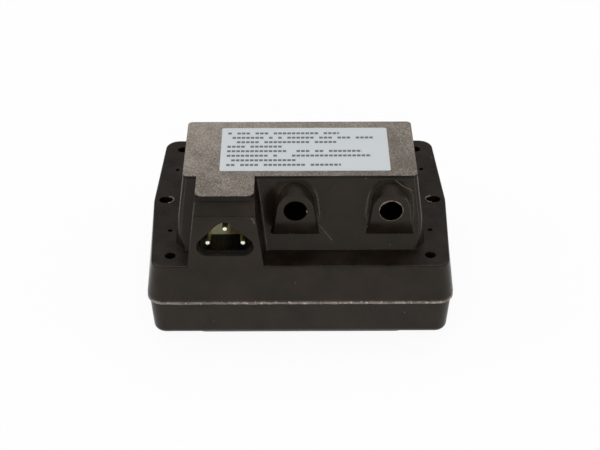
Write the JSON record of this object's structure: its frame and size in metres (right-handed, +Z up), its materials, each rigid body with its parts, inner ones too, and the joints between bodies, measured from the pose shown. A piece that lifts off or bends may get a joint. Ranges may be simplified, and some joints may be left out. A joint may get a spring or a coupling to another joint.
{
  "type": "ignition transformer",
  "caption": "Potted burner ignition transformer in a two-part moulded housing, with a triangular pin inlet, high-tension lead sockets and flange fixing holes.",
  "frame": {"origin": "centre of the underside, on the surface it rests on", "axes": "+X to the right along the front, +Y from the front with the sockets to the back, +Z up"},
  "size_m": [0.128, 0.0988, 0.0649],
  "materials": {
    "moulded_nylon": "satin",
    "potting_resin": "gloss",
    "zinc_coated_steel": "matte",
    "label_foil": "satin",
    "phenolic": "satin",
    "plated_brass": "polished",
    "silicon_steel": "satin",
    "enamelled_copper": "gloss",
    "bobbin_nylon": "satin",
    "lead_silicone": "satin"
  },
  "bodies": {
    "root": {"upper_housing": "moulded_nylon", "base_tray": "moulded_nylon", "seam_bead": "potting_resin", "earth_plate": "zinc_coated_steel", "rating_label": "label_foil", "pin_carrier": "phenolic", "inlet_pin_live": "plated_brass", "inlet_pin_neutral": "plated_brass", "inlet_pin_earth": "plated_brass", "ht_contact_left": "plated_brass", "ht_contact_right": "plated_brass", "core_u_stack": "silicon_steel", "core_yoke_bar": "silicon_steel", "magnetic_shunt": "silicon_steel", "primary_bobbin": "bobbin_nylon", "secondary_bobbin_left": "bobbin_nylon", "secondary_bobbin_right": "bobbin_nylon", "primary_winding": "enamelled_copper", "secondary_winding_left": "enamelled_copper", "secondary_winding_right": "enamelled_copper", "primary_lead_live": "lead_silicone", "primary_lead_neutral": "lead_silicone", "earth_lead": "lead_silicone", "midpoint_lead": "lead_silicone", "ht_lead_left": "lead_silicone", "ht_lead_right": "lead_silicone", "potting_resin": "potting_resin"}
  },
  "joints": []
}
